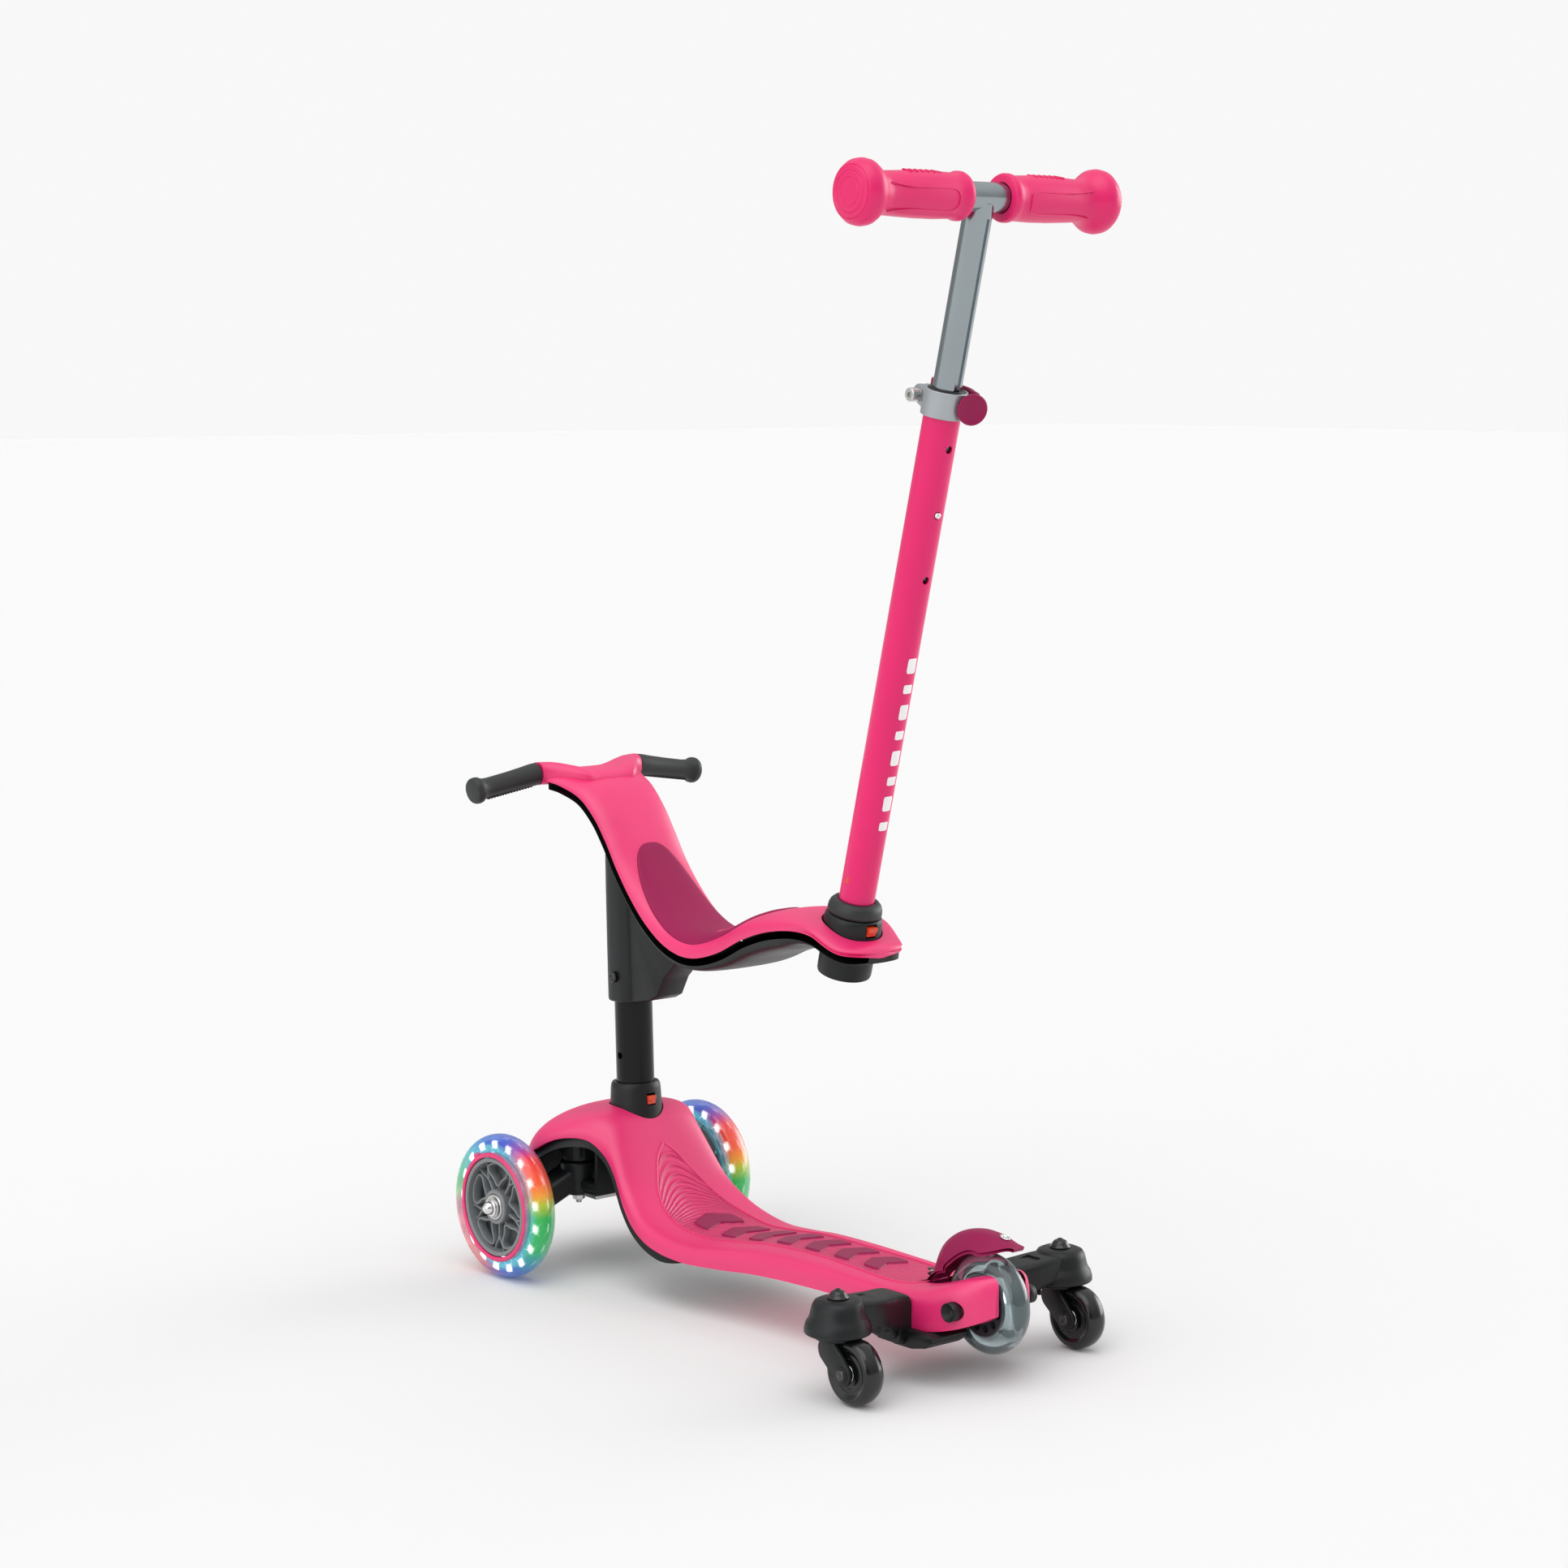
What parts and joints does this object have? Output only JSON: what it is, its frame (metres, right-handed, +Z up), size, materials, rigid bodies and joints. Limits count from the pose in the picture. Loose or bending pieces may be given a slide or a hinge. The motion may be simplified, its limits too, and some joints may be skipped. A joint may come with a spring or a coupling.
{
  "type": "kick scooter",
  "caption": "Toddler kick scooter: low deck, lit front wheels, rear wheel, caster bar, lift-out seat with handlebar, and a push T-bar.",
  "frame": {"origin": "on the ground, at the middle of the length and width of the whole part", "axes": "+X to the rider's right, +Y forward, +Z up"},
  "size_m": [0.2772, 0.5811, 0.906],
  "materials": {
    "pink_plastic": "smooth satin moulding",
    "magenta_plastic": "fine grained moulding",
    "black_plastic": "satin glass-filled moulding",
    "soft_black": "soft-touch ribbed grip",
    "soft_pink": "soft-touch grip",
    "red_button": "smooth",
    "clear_tyre": "clear cast polyurethane",
    "smoke_tyre": "smoky clear cast polyurethane",
    "caster_tread": "glossy cast wheel",
    "light_band": "translucent light band",
    "grey_plastic": "satin moulding",
    "steel": "zinc plated",
    "bright_nut": "bright plated",
    "pink_tube": "gloss powder coat",
    "black_tube": "gloss black coat",
    "silver_tube": "satin anodised",
    "grey_clamp": "cast, painted light grey"
  },
  "bodies": {
    "deck": {"deck_shell": "pink_plastic", "deck_liner": "black_plastic", "front_yoke": "black_plastic", "deck_collar": "black_plastic", "caster_bar": "black_plastic", "rear_axle": "steel", "kingpin_left": "steel", "kingpin_right": "steel", "kingpin_spring_left": "steel", "kingpin_spring_right": "steel", "caster_cap_left": "black_plastic", "caster_cap_right": "black_plastic", "fender_spring": "steel"},
    "steering_left": {"knuckle_left": "black_plastic", "front_axle_left": "bright_nut"},
    "steering_right": {"knuckle_right": "black_plastic", "front_axle_right": "bright_nut"},
    "track_rod": {"tie_rod": "steel"},
    "front_wheel_left": {"front_tyre_left": "clear_tyre", "light_ring_left": "light_band", "front_rim_left": "grey_plastic", "rim_trim_left": "pink_plastic", "front_bearing_left": "steel"},
    "front_wheel_right": {"front_tyre_right": "clear_tyre", "light_ring_right": "light_band", "front_rim_right": "grey_plastic", "rim_trim_right": "pink_plastic", "front_bearing_right": "steel"},
    "rear_wheel": {"rear_tyre": "smoke_tyre", "rear_core": "grey_plastic", "rear_bearing_left": "steel", "rear_bearing_right": "steel"},
    "fender": {"brake_fender": "magenta_plastic"},
    "caster_left": {"caster_fork_left": "black_plastic", "caster_axle_left": "steel"},
    "caster_right": {"caster_fork_right": "black_plastic", "caster_axle_right": "steel"},
    "caster_roller_left": {"caster_wheel_left": "caster_tread"},
    "caster_roller_right": {"caster_wheel_right": "caster_tread"},
    "collar_release": {"deck_button": "red_button"},
    "post": {"seat_post": "black_tube"},
    "seat": {"seat_shell": "pink_plastic", "seat_pad": "magenta_plastic", "seat_lower": "black_plastic", "seat_grip_left": "soft_black", "seat_grip_right": "soft_black", "seat_collar": "black_plastic", "sleeve_screw": "steel"},
    "mast_release": {"mast_button": "red_button"},
    "mast": {"mast_tube": "pink_tube", "clamp_collar": "grey_clamp", "clamp_bolt": "steel", "clamp_bush": "black_plastic"},
    "lever": {"clamp_lever": "magenta_plastic"},
    "height_catch": {"snap_button": "bright_nut"},
    "handle": {"stem_and_crossbar": "silver_tube", "handle_grip_left": "soft_pink", "handle_grip_right": "soft_pink"}
  },
  "joints": [
    {"name": "steer_left", "type": "hinge", "parent": "deck", "child": "steering_left", "pos_m": [-0.038, 0.216, 0.08], "axis": [0, 0, 1], "range_deg": [-15, 15], "stiffness_Nm_per_rad": 1.5},
    {"name": "steer_right", "type": "hinge", "parent": "deck", "child": "steering_right", "pos_m": [0.038, 0.216, 0.08], "axis": [0, 0, 1], "range_deg": [-15, 15], "stiffness_Nm_per_rad": 1.5},
    {"name": "track_rod_pivot", "type": "hinge", "parent": "steering_left", "child": "track_rod", "pos_m": [-0.038, 0.189, 0.067], "axis": [0, 0, 1], "range_deg": [-15, 15]},
    {"name": "front_left_spin", "type": "hinge", "parent": "steering_left", "child": "front_wheel_left", "pos_m": [-0.1046, 0.23, 0.0605], "axis": [1, 0, 0], "continuous": true},
    {"name": "front_right_spin", "type": "hinge", "parent": "steering_right", "child": "front_wheel_right", "pos_m": [0.1046, 0.23, 0.0605], "axis": [1, 0, 0], "continuous": true},
    {"name": "rear_spin", "type": "hinge", "parent": "deck", "child": "rear_wheel", "pos_m": [0, -0.2516, 0.0611], "axis": [1, 0, 0], "continuous": true},
    {"name": "brake_press", "type": "hinge", "parent": "deck", "child": "fender", "pos_m": [0, -0.1925, 0.064], "axis": [1, 0, 0], "range_deg": [0, 9], "stiffness_Nm_per_rad": 3, "springref_deg": -2.86},
    {"name": "caster_left_swivel", "type": "hinge", "parent": "deck", "child": "caster_left", "pos_m": [-0.1146, -0.21, 0.06], "axis": [0, 0, 1], "continuous": true},
    {"name": "caster_left_roll", "type": "hinge", "parent": "caster_left", "child": "caster_roller_left", "pos_m": [-0.1146, -0.2296, 0.0248], "axis": [1, 0, 0], "continuous": true},
    {"name": "caster_right_swivel", "type": "hinge", "parent": "deck", "child": "caster_right", "pos_m": [0.1146, -0.21, 0.06], "axis": [0, 0, 1], "continuous": true},
    {"name": "caster_right_roll", "type": "hinge", "parent": "caster_right", "child": "caster_roller_right", "pos_m": [0.1146, -0.2296, 0.0248], "axis": [1, 0, 0], "continuous": true},
    {"name": "collar_release_press", "type": "slide", "parent": "deck", "child": "collar_release", "axis": [0, 0.9994, -0.034], "range_m": [0, 0.003], "stiffness_N_per_m": 400},
    {"name": "post_lift_out", "type": "slide", "parent": "deck", "child": "post", "axis": [0, 0.034, 0.9994], "range_m": [0, 0.09]},
    {"name": "seat_height", "type": "slide", "parent": "post", "child": "seat", "axis": [0, 0.034, 0.9994], "range_m": [-0.0675, 0]},
    {"name": "mast_release_press", "type": "slide", "parent": "seat", "child": "mast_release", "axis": [0, 0.9693, 0.2459], "range_m": [0, 0.003], "stiffness_N_per_m": 400},
    {"name": "mast_pull_out", "type": "slide", "parent": "seat", "child": "mast", "axis": [0, -0.2459, 0.9693], "range_m": [0, 0.065]},
    {"name": "clamp_lever_open", "type": "hinge", "parent": "mast", "child": "lever", "pos_m": [0.014, -0.17253, 0.73918], "axis": [0, -0.2459, 0.9693], "range_deg": [0, 150]},
    {"name": "handle_height", "type": "slide", "parent": "mast", "child": "handle", "axis": [0, -0.2459, 0.9693], "range_m": [-0.0505, 0.0505]},
    {"name": "height_catch_press", "type": "slide", "parent": "mast", "child": "height_catch", "axis": [0, 0.9693, 0.2459], "range_m": [0, 0.0025], "stiffness_N_per_m": 500}
  ],
  "couplings": [
    {"joint": "steer_right", "follows": "steer_left", "ratio": 1},
    {"joint": "track_rod_pivot", "follows": "steer_left", "ratio": -1}
  ]
}
